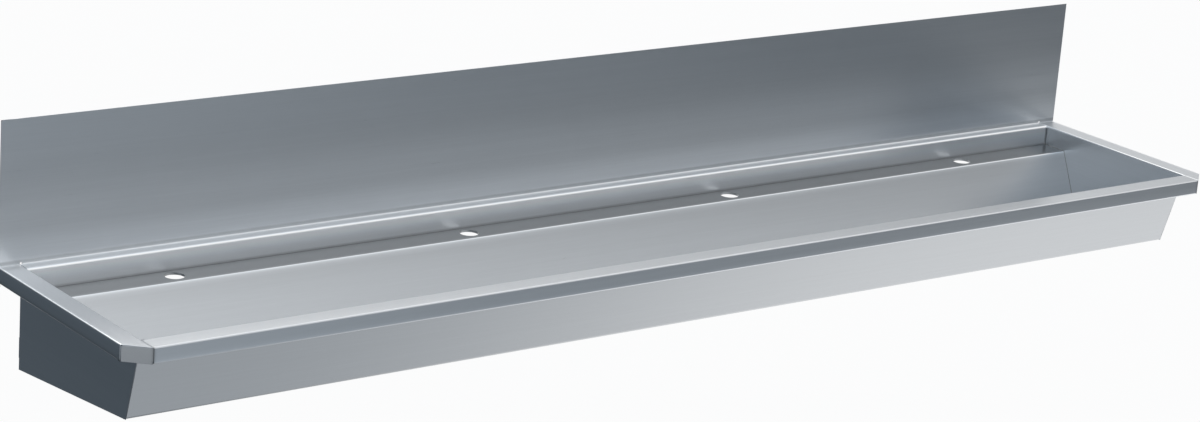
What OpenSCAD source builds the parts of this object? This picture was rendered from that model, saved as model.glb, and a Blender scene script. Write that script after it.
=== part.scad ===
// Wall-hung wash trough with four places, folded from satin stainless steel sheet.
// X runs along the wall, -Y points into the room and +Z points up.
// The origin lies on the wall plane, half-way along the trough, at the height of the wall rail's screws.
// Heights of the trough are measured down from the top of its rim.

/* [Trough] */
// Length over the side lips
trough_length = 2400; // [2200:50:2800]
// Depth from the wall to the face of the front lip
trough_depth = 450; // [420:5:520]
// Height of the rim above the screws of the wall rail
rim_height = 103; // [100:1:106]
// Thickness of the trough's sheet
sheet = 1.5; // [1.2:0.1:2]
// Inside radius of an ordinary fold
fold_radius = 1.5; // [1:0.1:2.5]

/* [Rim] */
// Width of the flat rim at the front and at both ends
rim_width = 40; // [35:1:60]
// Height of the turned-down lip
lip_height = 28; // [20:1:40]
// Width of the lip's safety return
lip_return = 10; // [6:1:14]
// How far back the chamfered corner reaches along the side lip
corner_back = 35; // [25:1:50]
// Open seam between a corner plate and the front lip
corner_seam = 0.8; // [0.3:0.1:2]

/* [Splashback and ledges] */
// Height of the splashback above the rim
splash_height = 250; // [150:5:400]
// Distance from the wall to the face of the back wall
back_ledge = 25; // [22:1:35]
// Inside radius of the folds beside the back ledge
ledge_radius = 3; // [2:0.5:4]
// Inside radius of the sharp crease between the back wall and the tap ledge
crease_radius = 0.5; // [0.3:0.1:2]
// Drop from the rim to the tap ledge
tap_ledge_drop = 39; // [34:1:42]
// Depth of the tap ledge
tap_ledge_depth = 56; // [52:1:70]
// Diameter of the relief hole at each end of the splashback fold
relief_d = 4; // [3:0.5:6]
// Width of the open seam between the back wall and an end wall
end_seam = 3; // [1:0.5:5]
// Gap between the splashback and the side rim
splash_gap = 0.3; // [0.2:0.1:1]

/* [Tap holes] */
// Distance from an end of the trough to the nearest tap hole
tap_end = 300; // [260:10:340]
// Diameter of a tap hole
tap_hole_d = 35; // [28:1:38]
// Length of a tap plate along the wall
tap_plate_l = 110; // [80:5:160]
// Depth of a tap plate
tap_plate_w = 44; // [42:1:46]
// Thickness of a tap plate
tap_plate_t = 2.5; // [2:0.5:4]
// Corner radius of a tap plate
tap_plate_r = 5; // [3:1:10]

/* [Basin] */
// Outside depth of the basin below the rim, at the front wall
front_drop = 146; // [120:1:160]
// Outside depth of the end walls below the rim, at the wall
rear_drop = 183; // [175:1:200]
// Lean of the front wall from upright
front_lean = 16; // [8:1:20]
// Lean of the basin back from upright
back_lean = 24; // [18:1:28]
// Inside radius of the folds along the floor
floor_radius = 6; // [3:1:10]
// Length of the back sheet's flange below the tap ledge
joint_flange = 12; // [10:1:20]
// Gap between the end walls and the wall
end_wall_gap = 4; // [3.5:0.5:8]

/* [Waste] */
// Distance of the waste's axis from the foot of the basin back
waste_offset = 58; // [54:1:90]
// Radius of the level dish round the waste
dish_r = 46; // [42:1:48]
// Depth of the dish below the floor at the waste's axis
dish_depth = 7; // [6:0.5:12]
// Lean of the dish's wall from upright
dish_lean = 12; // [5:1:20]
// Radius of the hole in the dish
dish_hole_r = 26; // [25:0.5:28]
// Outside radius of the waste's tail
tail_r = 23.9; // [22:0.1:24.5]
// Bore radius of the tail
throat_r = 20.5; // [18:0.1:21]
// Length of the tail below the dish
tail_length = 30; // [26:1:60]
// Radius of the waste's flange
flange_r = 38; // [34:1:40]
// Thickness of the waste's flange
flange_t = 2.5; // [2:0.1:3]
// Thickness of the gasket under the flange
flange_gasket_t = 1.5; // [1:0.1:2]
// Thickness of the gasket under the dish
lower_gasket_t = 2.5; // [2:0.5:4]
// Thickness of the slip washer
slip_washer_t = 1.2; // [1:0.1:2]
// Outside radius of the lower gasket and the slip washer
washer_r = 36; // [33:1:38]
// Width of the backnut across its flats
nut_flats = 62; // [58:1:68]
// Thickness of the backnut
nut_t = 7; // [6:1:10]
// Length of thread left between the backnut and the groove
groove_offset = 1.5; // [0.5:0.5:3]
// Width of the groove between the backnut's thread and the trap's thread
groove_width = 2.5; // [1.5:0.5:4]
// Depth of that groove
groove_depth = 1.2; // [0.8:0.1:1.6]

/* [Strainer] */
// Radius of the strainer's cap
strainer_r = 31; // [28:1:33]
// Thickness of the strainer's cap
strainer_t = 1.5; // [1:0.1:2]
// Depth of the strainer's skirt
skirt_depth = 12; // [8:1:16]
// Wall of the strainer's skirt
skirt_wall = 1.2; // [1:0.1:1.6]
// Diameter of a strainer hole
strainer_hole_d = 4.5; // [3:0.5:5]
// Holes in the inner ring of the strainer
inner_holes = 6; // [4:1:8]
// Holes in the outer ring of the strainer
outer_holes = 12; // [8:1:14]
// Radius of the inner ring of holes
inner_ring_r = 9.5; // [9:0.5:10]
// Radius of the outer ring of holes
outer_ring_r = 15.5; // [15:0.5:16]
// Radius of the knob's head
knob_r = 5; // [4:0.5:6]
// Height of the knob
knob_h = 9; // [7:1:12]

/* [Wall rail] */
// Distance from an end wall to the end of the rail
rail_end_gap = 60; // [45:5:120]
// Height of the rail's plate
rail_height = 36; // [30:1:40]
// Thickness of the rail's steel
rail_t = 2.5; // [2:0.1:3]
// Distance from the wall to the front of the rail's hook
hook_reach = 12; // [11:0.5:14]
// Height of the rail's hook above its plate
hook_height = 14; // [12:1:16]
// Distance of the outer screw holes from the rail's ends
rail_screw_end = 50; // [30:5:100]
// Diameter of a wall screw's hole
screw_hole_d = 9; // [7:0.5:11]

/* [Ribs] */
// Thickness of a support rib
rib_t = 3; // [2:0.5:4]
// Distance of a rib's top below the rim
rib_top = 8; // [6:1:12]
// Chamfer at the rib's upper rear corner
rib_chamfer = 8; // [4:1:10]
// Height of a rib's foot above the foot of the basin back
rib_foot_rise = 12; // [8:1:16]
// Diameter of the pipe hole in a rib
pipe_hole_d = 42; // [30:1:50]
// Distance of the pipe hole from the wall
pipe_hole_y = 56; // [50:1:60]
// Distance of the pipe hole below the rim
pipe_hole_drop = 98; // [92:1:104]
// Thickness of the wall pad between a rib and the wall
pad_t = 3; // [2:0.5:4]
// Clear distance between the wall rail and a wall pad
pad_gap = 9; // [6:1:14]
// Depth of the wall pad's cheeks
pad_cheek_depth = 6; // [4:1:8]
// Thickness of the wall pad's cheeks
pad_cheek_t = 2.5; // [2:0.5:4]

/* [Wall lugs] */
// Length of a lug's leg on the wall
lug_leg = 30; // [26:1:40]
// Length of a lug's leg on the end wall
lug_depth = 32; // [20:1:40]
// Height of a lug
lug_height = 36; // [25:1:40]
// Thickness of a lug
lug_t = 3; // [2:0.5:3.5]
// Distance of a lug's screw below the rim
lug_drop = 145; // [140:1:150]

/* [Seam backing] */
// Width of each leg of the seam backing
backing_leg = 14; // [10:1:16]

/* [Underside] */
// Distance of a floor stiffener from the middle
stiffener_x = 600; // [500:10:700]
// Width of the stiffener's crown
stiffener_w = 30; // [20:1:40]
// Height of the stiffener
stiffener_h = 15; // [10:1:16]
// Width of each flange of the stiffener
stiffener_flange = 12; // [10:1:16]
// Distance of the stiffeners and sound pads from the back corner of the floor
under_back_margin = 15; // [12:1:30]
// Distance of the stiffeners from the front corner of the floor
stiffener_front_margin = 70; // [30:5:100]
// Distance of the sound pads from the front corner of the floor
sound_pad_front_margin = 25; // [15:1:60]
// Thickness of a sound pad
sound_pad_t = 3; // [2:0.5:5]
// Clear distance between a sound pad and a stiffener
sound_pad_gap = 6; // [4:1:20]
// Distance of the inner sound pads from the middle
sound_pad_start = 130; // [100:5:160]
// Distance of the outer sound pads from the end walls
sound_pad_end = 50; // [30:5:80]

/* [Fits] */
// Clearance between the strainer and the waste
lift_clearance = 0.3; // [0.2:0.05:0.5]
// Radial clearance between the tail and the parts round it
tail_clearance = 0.3; // [0.2:0.1:0.6]
// Clearance between a rib and the rail
hook_clearance = 1; // [0.5:0.1:1.2]
// Clearance between a rib's edge and the cheeks of its pad
pad_clearance = 0.1; // [0.1:0.05:0.3]

/* [Hidden] */
$fn = 72;

// Steps of a fold's arc, and the length by which a cutter passes its surface
fold_steps = 6;
over = 1;
// Number of tap holes
tap_count = 4;
tap_pitch = (trough_length - 2 * tap_end) / (tap_count - 1);

half_length = trough_length / 2;
// Inner face of the right end wall
end_x = half_length - rim_width;
// Back edge of the front rim
rim_back_y = -(trough_depth - rim_width);
// Face of the splashback, and the face line of the back wall and tap ledge
splash_y = -sheet;
back_wall_y = -back_ledge;
tap_ledge_front_y = back_wall_y - tap_ledge_depth;
tap_y = back_wall_y - tap_ledge_depth / 2;

// Directions in the Y-Z section: down the front wall, down the basin back
front_dir = [sin(front_lean), -cos(front_lean)];
slope_dir = [-sin(back_lean), -cos(back_lean)];

// The point where two lines of the section meet
function meet(p, d, q, e) = p + d * (cross(q - p, e) / cross(d, e));

// The front wall's outer face, the underside of the floor, and the angle by which the floor falls back
front_outer = [rim_back_y, 0] + sheet * [-cos(front_lean), -sin(front_lean)];
front_foot = meet(front_outer, front_dir, [0, -front_drop], [1, 0]);
floor_angle = atan((rear_drop - front_drop) / -front_foot[0]);
floor_dir = [cos(floor_angle), -sin(floor_angle)];
floor_up = [sin(floor_angle), cos(floor_angle)];
floor_point = [0, -rear_drop] + sheet * floor_up;

// Corners of the section's visible face
tap_corner = [tap_ledge_front_y, -tap_ledge_drop];
joint_point = tap_corner + joint_flange * slope_dir;
front_corner = meet([rim_back_y, 0], front_dir, floor_point, floor_dir);
back_corner = meet(tap_corner, slope_dir, floor_point, floor_dir);
// A point of the basin back's rear face
slope_rear = tap_corner + sheet * [cos(back_lean), -sin(back_lean)];

// The stiffeners and sound pads, measured from the wall along the floor's underside
under_back = back_corner[0] / cos(floor_angle) - under_back_margin;
under_front = front_foot[0] / cos(floor_angle);

// The waste's distance from the wall, and heights at the waste below the rim
waste_y = waste_offset - back_corner[0];
floor_at_waste = meet([-waste_y, 0], [0, 1], floor_point, floor_dir)[1];
dish_z = floor_at_waste - dish_depth;
flange_z = dish_z + flange_gasket_t;
flange_top = flange_z + flange_t;
gasket_z = dish_z - sheet - lower_gasket_t;
washer_z = gasket_z - slip_washer_t;
nut_z = washer_z - nut_t;
tail_z = dish_z - sheet - tail_length;

// The wall rail's plate lies about the screw line, and the hook stands on it
rail_length = 2 * (end_x - rail_end_gap);
rail_top = -rim_height + rail_height / 2;
rail_bottom = rail_top - rail_height;
hook_top = rail_top + hook_height;

// The ribs stand between the tap holes, and their pads lie below the rail
rib_pitch = tap_pitch;
rib_foot = back_corner[1] + rib_foot_rise;
pad_height = rail_bottom - pad_gap - rib_foot;

// A unit vector, and a vector turned by an angle
function unit(v) = v / norm(v);
function turned(v, a) = [v[0] * cos(a) - v[1] * sin(a), v[0] * sin(a) + v[1] * cos(a)];

// The arc of one fold. The visible face runs p0, p1, p2, and the line at depth lies that far to its right.
function fold_arc(p0, p1, p2, inside, t, depth) =
    let (d = unit(p1 - p0), e = unit(p2 - p1), s = sign(cross(d, e)), a = acos(d * e),
        r = s < 0 ? inside + t : inside, n = s * [-d[1], d[0]], c = p1 - d * r * tan(a / 2) + n * r)
    [for (k = [0 : fold_steps]) c - turned(n, s * a * k / fold_steps) * (r + s * depth)];

// A folded face line, moved to the right by depth
function folded_line(p, radii, t, depth) =
    let (m = len(p) - 1, d = unit(p[1] - p[0]), e = unit(p[m] - p[m - 1]))
    concat([p[0] + depth * [d[1], -d[0]]],
        [for (i = [1 : m - 1]) each fold_arc(p[i - 1], p[i], p[i + 1], radii[i - 1], t, depth)],
        [p[m] + depth * [e[1], -e[0]]]);

// The section of a sheet of thickness t that is folded along the visible face p
function folded_section(p, radii, t) =
    let (back = folded_line(p, radii, t, t), m = len(back) - 1)
    concat(folded_line(p, radii, t, 0), [for (i = [0 : m]) back[m - i]]);

// Lifts what is drawn below the rim to the rim's height
module below_rim() {
    translate([0, 0, rim_height]) children();
}

// Turns a Y-Z section into a solid that runs along X from x0 to x1
module along_x(x0, x1) {
    translate([x0, 0, 0]) rotate([90, 0, 90]) linear_extrude(x1 - x0) children();
}

// Turns an X-Z section into a solid that runs along Y from y0 to y1
module along_y(y0, y1) {
    translate([0, y1, 0]) rotate([90, 0, 0]) linear_extrude(y1 - y0) children();
}

// Lays children on the underside of the floor: local Z = 0 is the underside, -Y runs to the front
module under_floor() {
    below_rim() translate([0, 0, -rear_drop]) rotate([-floor_angle, 0, 0]) children();
}

// Moves children to the waste's axis
module at_waste() {
    below_rim() translate([0, -waste_y, 0]) children();
}

// A ring of rectangular section between two heights
module ring(inner, outer, z0, z1) {
    translate([0, 0, z0]) difference() {
        cylinder(r = outer, h = z1 - z0);
        translate([0, 0, -over]) cylinder(r = inner, h = z1 - z0 + 2 * over);
    }
}

// A rectangle with round corners, about the origin
module round_rectangle(l, w, r) {
    square([l - 2 * r, w], center = true);
    square([l, w - 2 * r], center = true);
    for (x = [-1, 1], y = [-1, 1]) translate([x * (l / 2 - r), y * (w / 2 - r)]) circle(r);
}

// Distance of tap hole i from the middle
function tap_x(i) = (i - (tap_count + 1) / 2) * tap_pitch;

// Splashback, back ledge, back wall and tap ledge, folded from one sheet
module back_sheet() {
    face = [joint_point, tap_corner, [back_wall_y, -tap_ledge_drop], [back_wall_y, 0], [splash_y, 0],
        [splash_y, splash_height]];
    radii = [fold_radius, crease_radius, ledge_radius, ledge_radius];
    seam_top = -(ledge_radius + sheet);
    seam_bottom = -tap_ledge_drop + crease_radius + sheet;
    color("lightsteelblue") below_rim() difference() {
        union() {
            along_x(-end_x, end_x) polygon(folded_section(face, radii, sheet));
            for (side = [0, 1]) mirror([side, 0, 0])
                translate([end_x, -sheet, splash_gap]) cube([rim_width, sheet, splash_height - splash_gap]);
        }
        for (i = [1 : tap_count]) translate([tap_x(i), tap_y, -tap_ledge_drop - sheet - over])
            cylinder(d = tap_hole_d, h = sheet + 2 * over);
        for (side = [0, 1]) mirror([side, 0, 0]) {
            translate([end_x, over, relief_d / 2])
                rotate([90, 0, 0]) cylinder(d = relief_d, h = sheet + ledge_radius + 2 * over);
            translate([end_x - end_seam, back_wall_y - over, seam_bottom])
                cube([end_seam + over, sheet + 2 * over, seam_top - seam_bottom]);
        }
    }
}

// Basin back, floor, front wall, rim and lip, folded from one sheet, with the level dish of the waste
module basin_sheet() {
    front_y = -trough_depth;
    face = [[front_y + lip_return, -lip_height], [front_y, -lip_height], [front_y, 0], [rim_back_y, 0],
        front_corner, back_corner, joint_point];
    radii = [fold_radius, fold_radius, fold_radius, floor_radius, floor_radius];
    dish_rise = 3 * dish_depth;
    dish_side = dish_r + dish_rise * tan(dish_lean);
    dish_face = [[dish_hole_r, dish_z], [dish_r, dish_z], [dish_side, dish_z + dish_rise]];
    color("lightsteelblue") below_rim() {
        difference() {
            along_x(-end_x, end_x) polygon(folded_section(face, radii, sheet));
            translate([0, -waste_y, dish_z])
                cylinder(r1 = dish_r + sheet / 2, r2 = dish_side + sheet / 2, h = dish_rise);
        }
        intersection() {
            translate([0, -waste_y, 0])
                rotate_extrude() polygon(folded_section(dish_face, [fold_radius], sheet));
            translate([-2 * dish_r, 0, -rear_drop]) rotate([-floor_angle, 0, 0])
                translate([0, -trough_depth, sheet - 2 * dish_r])
                    cube([4 * dish_r, trough_depth, 2 * dish_r]);
        }
    }
}

// The right end: end wall, side rim and lip
module end_cap() {
    flat_rim = [[end_x, 0], [half_length, 0], [half_length, -lip_height]];
    bent_rim = concat([[end_x, -lip_height / 2]], flat_rim, [[half_length - lip_return, -lip_height]]);
    wall_top = -(fold_radius + sheet);
    wall_back = meet([-end_wall_gap, 0], [0, 1], [0, -rear_drop], floor_dir);
    wall_front = meet(front_outer, front_dir, [0, wall_top], [1, 0]);
    corner_y = -(trough_depth - corner_back);
    below_rim() difference() {
        union() {
            along_y(rim_back_y, -end_wall_gap)
                polygon(folded_section(bent_rim, [fold_radius, fold_radius, fold_radius], sheet));
            along_y(-trough_depth, rim_back_y) polygon(folded_section(flat_rim, [fold_radius], sheet));
            along_y(-end_wall_gap, 0) polygon(folded_section(flat_rim, [fold_radius], sheet));
            along_x(end_x, end_x + sheet)
                polygon([[-end_wall_gap, wall_top], wall_back, front_foot, wall_front]);
        }
        translate([0, 0, -lip_height - over]) linear_extrude(lip_height + 2 * over)
            polygon([[end_x, -trough_depth], [half_length, corner_y], [half_length + over, corner_y],
                [half_length + over, -trough_depth - over], [end_x, -trough_depth - over]]);
    }
}

module end_cap_right() {
    color("slategray") end_cap();
}

module end_cap_left() {
    color("slategray") mirror([1, 0, 0]) end_cap();
}

// The chamfered plate that closes the right front corner under the rim
module corner_plate() {
    run = [rim_width, corner_back];
    inward = sheet * [-corner_back, rim_width] / norm(run);
    outer_start = [end_x, -trough_depth];
    outer_end = outer_start + run;
    x0 = end_x + corner_seam;
    x1 = half_length - sheet;
    face_start = meet(outer_start, run, [x0, 0], [0, 1]);
    face_end = meet(outer_start, run, [x1, 0], [0, 1]);
    back_end = meet(outer_start + inward, run, [x1, 0], [0, 1]);
    back_start = meet(outer_start + inward, run, [x0, 0], [0, 1]);
    fold = fold_radius + sheet;
    below_rim() translate([0, 0, -lip_height]) difference() {
        linear_extrude(lip_height - sheet) polygon([face_start, face_end, back_end, back_start]);
        translate([half_length - fold, -trough_depth, lip_height - fold]) cube([fold, trough_depth, fold]);
    }
}

module corner_plate_right() {
    color("lightslategray") corner_plate();
}

module corner_plate_left() {
    color("lightslategray") mirror([1, 0, 0]) corner_plate();
}

// The angle behind the open seam of the right rear corner
module seam_backing() {
    top = -(ledge_radius + sheet);
    height = tap_ledge_drop - ledge_radius - crease_radius - 2 * sheet;
    below_rim() translate([end_x, back_wall_y + sheet, top - height]) {
        translate([-backing_leg, 0, 0]) cube([backing_leg, sheet, height]);
        translate([-sheet, 0, 0]) cube([sheet, backing_leg, height]);
    }
}

module seam_backing_right() {
    color("gray") seam_backing();
}

module seam_backing_left() {
    color("gray") mirror([1, 0, 0]) seam_backing();
}

// The reinforcement under tap hole i
module tap_plate(i) {
    color("gray") below_rim() translate([tap_x(i), tap_y, -tap_ledge_drop - sheet - tap_plate_t])
        difference() {
            linear_extrude(tap_plate_t) round_rectangle(tap_plate_l, tap_plate_w, tap_plate_r);
            translate([0, 0, -over]) cylinder(d = tap_hole_d, h = tap_plate_t + 2 * over);
        }
}

// A rib that carries the trough: its tooth hangs behind the rail's hook, and its foot rests on the wall
module support_rib(i) {
    ledge_under = -tap_ledge_drop - sheet;
    wall_rear = back_wall_y + sheet;
    tooth_back = -(rail_t + hook_clearance);
    tooth_front = -(hook_reach - rail_t - hook_clearance);
    tooth_foot = rail_top + rail_t + hook_clearance;
    body_back = -(hook_reach + hook_clearance);
    notch_foot = rail_bottom - 4 * hook_clearance;
    corner_cut = 2 * (fold_radius + sheet);
    foot = meet(slope_rear, slope_dir, [0, rib_foot], [1, 0]);
    shoulder = meet(slope_rear, slope_dir, [0, ledge_under - corner_cut], [1, 0]);
    ledge_end = meet(slope_rear, slope_dir, [0, ledge_under], [1, 0]);
    color("silver") below_rim() translate([(i - 2) * rib_pitch, 0, 0]) difference() {
        along_x(-rib_t / 2, rib_t / 2)
            polygon([[wall_rear, -rib_top], [tooth_back - rib_chamfer, -rib_top],
                [tooth_back, -rib_top - rib_chamfer], [tooth_back, tooth_foot], [tooth_front, tooth_foot],
                [tooth_front, hook_top],
                [body_back, hook_top], [body_back, notch_foot], [-pad_t, notch_foot],
                [-pad_t, rib_foot], foot, shoulder, [ledge_end[0] + corner_cut, ledge_under],
                [wall_rear, ledge_under]]);
        translate([-rib_t, -pipe_hole_y, -pipe_hole_drop])
            rotate([0, 90, 0]) cylinder(d = pipe_hole_d, h = 2 * rib_t);
    }
}

// The rail on the wall: a plate with four screw holes and an upward hook
module wall_rail() {
    face = [[-rail_t, rail_bottom], [-rail_t, rail_top], [-hook_reach, rail_top], [-hook_reach, hook_top]];
    color("silver") below_rim() difference() {
        along_x(-rail_length / 2, rail_length / 2)
            polygon(folded_section(face, [fold_radius, fold_radius], rail_t));
        for (k = [-1, -1/3, 1/3, 1]) translate([k * (rail_length / 2 - rail_screw_end), over, -rim_height])
            rotate([90, 0, 0]) cylinder(d = screw_hole_d, h = rail_t + 2 * over);
    }
}

// The angle that takes the right locking screw
module wall_lug() {
    below_rim() translate([end_x, 0, -lug_drop - lug_height / 2]) difference() {
        union() {
            translate([-lug_leg, -lug_t, 0]) cube([lug_leg, lug_t, lug_height]);
            translate([-lug_t, -lug_depth, 0]) cube([lug_t, lug_depth, lug_height]);
        }
        translate([-(lug_leg + lug_t) / 2, over, lug_height / 2])
            rotate([90, 0, 0]) cylinder(d = screw_hole_d, h = lug_t + 2 * over);
    }
}

module wall_lug_right() {
    color("silver") wall_lug();
}

module wall_lug_left() {
    color("silver") mirror([1, 0, 0]) wall_lug();
}

// Rubber pads, pushed on the feet of the ribs, that rest on the wall
module wall_pads() {
    width = rib_t + 2 * (pad_clearance + pad_cheek_t);
    color("dimgray") below_rim() for (i = [1 : 3])
        translate([(i - 2) * rib_pitch, -pad_t - pad_cheek_depth, rib_foot]) difference() {
            translate([-width / 2, 0, 0]) cube([width, pad_t + pad_cheek_depth, pad_height]);
            translate([-rib_t / 2 - pad_clearance, -over, -over])
                cube([rib_t + 2 * pad_clearance, pad_cheek_depth + over, pad_height + 2 * over]);
        }
}

// A top-hat stiffener that runs from back to front under the floor
module floor_stiffener(side) {
    half = stiffener_w / 2;
    crown = -stiffener_h;
    face = [[half + stiffener_flange, -sheet], [half, -sheet], [half, crown], [-half, crown], [-half, -sheet],
        [-half - stiffener_flange, -sheet]];
    radii = [for (k = [1 : 4]) fold_radius];
    color("silver") under_floor() translate([side * stiffener_x, 0, 0])
        along_y(under_front + stiffener_front_margin, under_back) polygon(folded_section(face, radii, sheet));
}

module floor_stiffener_left() {
    floor_stiffener(-1);
}

module floor_stiffener_right() {
    floor_stiffener(1);
}

// Sound-deadening pad i, counted from the left
module sound_pad(i) {
    hat = stiffener_w / 2 + stiffener_flange + sound_pad_gap;
    spans = [[sound_pad_start, stiffener_x - hat], [stiffener_x + hat, end_x - sound_pad_end]];
    side = i < 3 ? -1 : 1;
    span = side * spans[i == 1 || i == 4 ? 1 : 0];
    color("dimgray") under_floor()
        translate([min(span[0], span[1]), under_front + sound_pad_front_margin, -sound_pad_t])
            cube([abs(span[1] - span[0]), under_back - under_front - sound_pad_front_margin, sound_pad_t]);
}

// The waste's flange and threaded tail in one piece
module waste_flange() {
    groove_top = nut_z - groove_offset;
    groove_foot = groove_top - groove_width;
    groove_r = tail_r - groove_depth;
    color("gainsboro") at_waste() rotate_extrude()
        polygon([[throat_r, tail_z], [tail_r, tail_z], [tail_r, groove_foot], [groove_r, groove_foot],
            [groove_r, groove_top], [tail_r, groove_top], [tail_r, flange_z], [flange_r, flange_z],
            [flange_r, flange_z + flange_t / 2], [flange_r - flange_t, flange_top], [throat_r, flange_top]]);
}

module flange_gasket() {
    color("dimgray") at_waste() ring(dish_hole_r, flange_r - flange_gasket_t, dish_z, flange_z);
}

module lower_gasket() {
    color("dimgray") at_waste() ring(tail_r + tail_clearance, washer_r, gasket_z, dish_z - sheet);
}

module slip_washer() {
    color("whitesmoke") at_waste() ring(tail_r + tail_clearance, washer_r, washer_z, gasket_z);
}

// Hexagonal nut that clamps the waste in the dish
module backnut() {
    color("darkgray") at_waste() translate([0, 0, nut_z]) difference() {
        cylinder(d = nut_flats / cos(30), h = nut_t, $fn = 6);
        translate([0, 0, -over]) cylinder(r = tail_r + tail_clearance, h = nut_t + 2 * over);
    }
}

// Perforated cap with a skirt that drops into the throat, and a knob to lift it by
module strainer() {
    skirt_r = throat_r - lift_clearance;
    cap_z = flange_top + lift_clearance;
    neck_r = knob_r / 2;
    color("gainsboro") at_waste() translate([0, 0, cap_z]) difference() {
        union() {
            rotate_extrude() polygon([[0, 0], [strainer_r, 0], [strainer_r - strainer_t / 2, strainer_t],
                [neck_r, strainer_t], [neck_r, knob_h / 2], [knob_r, knob_h - 2 * strainer_t],
                [knob_r, knob_h - strainer_t / 2], [knob_r - strainer_t / 2, knob_h], [0, knob_h]]);
            ring(skirt_r - skirt_wall, skirt_r, -skirt_depth, strainer_t / 2);
        }
        for (k = [1 : inner_holes]) rotate(k * 360 / inner_holes)
            translate([inner_ring_r, 0, -over]) cylinder(d = strainer_hole_d, h = strainer_t + 2 * over);
        for (k = [1 : outer_holes]) rotate(k * 360 / outer_holes)
            translate([outer_ring_r, 0, -over]) cylinder(d = strainer_hole_d, h = strainer_t + 2 * over);
    }
}

back_sheet();
basin_sheet();
end_cap_left();
end_cap_right();
corner_plate_left();
corner_plate_right();
seam_backing_left();
seam_backing_right();
tap_plate(1);  // tap_plate_1
tap_plate(2);  // tap_plate_2
tap_plate(3);  // tap_plate_3
tap_plate(4);  // tap_plate_4
support_rib(1);  // support_rib_1
support_rib(2);  // support_rib_2
support_rib(3);  // support_rib_3
wall_rail();
wall_lug_left();
wall_lug_right();
wall_pads();
floor_stiffener_left();
floor_stiffener_right();
sound_pad(1);  // sound_pad_1
sound_pad(2);  // sound_pad_2
sound_pad(3);  // sound_pad_3
sound_pad(4);  // sound_pad_4
waste_flange();
flange_gasket();
lower_gasket();
slip_washer();
backnut();
strainer();
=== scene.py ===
"""Looks of a wall-hung wash trough with four places, in satin stainless steel.

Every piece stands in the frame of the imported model, in metres: X along the wall, -Y into the room, Z up."""
import math

import bmesh
import bpy
import numpy as np
from mathutils import Matrix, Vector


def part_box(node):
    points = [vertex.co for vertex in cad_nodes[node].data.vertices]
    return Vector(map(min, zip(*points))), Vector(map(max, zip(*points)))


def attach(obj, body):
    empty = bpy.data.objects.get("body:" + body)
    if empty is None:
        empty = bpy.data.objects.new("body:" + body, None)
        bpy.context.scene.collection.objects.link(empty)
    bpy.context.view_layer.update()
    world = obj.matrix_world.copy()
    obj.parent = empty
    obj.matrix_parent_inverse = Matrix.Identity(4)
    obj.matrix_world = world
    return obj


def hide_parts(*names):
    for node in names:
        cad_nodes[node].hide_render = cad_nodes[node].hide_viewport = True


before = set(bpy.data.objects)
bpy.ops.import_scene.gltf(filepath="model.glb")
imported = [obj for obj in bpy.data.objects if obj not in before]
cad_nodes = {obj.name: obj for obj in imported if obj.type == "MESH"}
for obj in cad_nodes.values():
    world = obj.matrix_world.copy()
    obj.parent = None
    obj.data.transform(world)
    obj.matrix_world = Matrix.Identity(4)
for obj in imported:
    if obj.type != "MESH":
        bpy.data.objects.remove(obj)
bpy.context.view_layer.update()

# The height of the rim in the frame, and over the floor of the room
RIM_Z = 0.103
RIM_HEIGHT = 0.87
FLOOR_Z = RIM_Z - RIM_HEIGHT

# The camera's place, its turn to the right, its tilt down and its roll, in radians
CAMERA_PLACE = (-3.470996, -4.528196, 1.664323 + RIM_Z)
CAMERA_YAW = 0.6586
CAMERA_PITCH = 0.2915
CAMERA_ROLL = 0.0747
# Focal length over the width of the picture
CAMERA_REACH = 3200.843 / 1200


def set_camera():
    """A plain camera at the photograph's viewing angle."""
    data = bpy.data.cameras.new("room_camera")
    data.sensor_width = 36
    data.lens = CAMERA_REACH * data.sensor_width
    camera = bpy.data.objects.new("room_camera", data)
    turn = Matrix.Rotation(-CAMERA_YAW, 4, "Z") @ Matrix.Rotation(math.pi / 2 - CAMERA_PITCH, 4, "X")
    camera.matrix_world = (Matrix.Translation(CAMERA_PLACE) @ turn
                           @ Matrix.Rotation(CAMERA_ROLL, 4, "Z"))
    bpy.context.scene.collection.objects.link(camera)
    bpy.context.scene.camera = camera


set_camera()
bpy.context.scene.view_settings.view_transform = "Standard"


# Sizes of the folded sheets, in metres; heights in a section are measured from the top of the rim
SHEET = 0.0015
FOLD = 0.0015
CREASE = 0.0005
LEDGE_FOLD = 0.003
FLOOR_FOLD = 0.006
BEND_STEPS = 10
EDGE_EASE = 0.0003
SHARP_ANGLE = math.radians(30)
FLAT_ANGLE = math.radians(0.5)
# The largest share of a leg that a rounded corner takes
MOST_EASE = 0.45
# Points are one if they are this close or agree to so many decimals. Others are near each other, or touch.
SAME_PLACE = 1e-7
SAME_DECIMALS = 7
NEAR = 1e-6
TOUCH = 1e-5
WELD_R = 0.0009
WELD_SINK = 0.0003
WELD_STEPS = 6
WELD_START = 0.004

HALF_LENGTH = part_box("back_sheet")[1].x
END_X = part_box("basin_sheet")[1].x
FRONT_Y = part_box("basin_sheet")[0].y
SPLASH_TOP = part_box("back_sheet")[1].z - RIM_Z
RIM_WIDTH = HALF_LENGTH - END_X
RIM_BACK_Y = FRONT_Y + RIM_WIDTH
LIP_DROP = 0.028
LIP_RETURN = 0.010
CORNER_BACK = 0.035
BACK_WALL_Y = -0.025
TAP_LEDGE_DROP = 0.039
TAP_LEDGE_DEPTH = 0.056
TAP_LEDGE_FRONT_Y = BACK_WALL_Y - TAP_LEDGE_DEPTH
TAP_Y = (BACK_WALL_Y + TAP_LEDGE_FRONT_Y) / 2
TAP_PITCH = 0.600
TAP_HOLE_R = 0.0175
TAP_PATCH = 0.022
JOINT_FLANGE = 0.012
SPLASH_GAP = 0.0003
END_SEAM = 0.003
RELIEF_R = 0.002
RELIEF_PATCH = 0.0025
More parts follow.
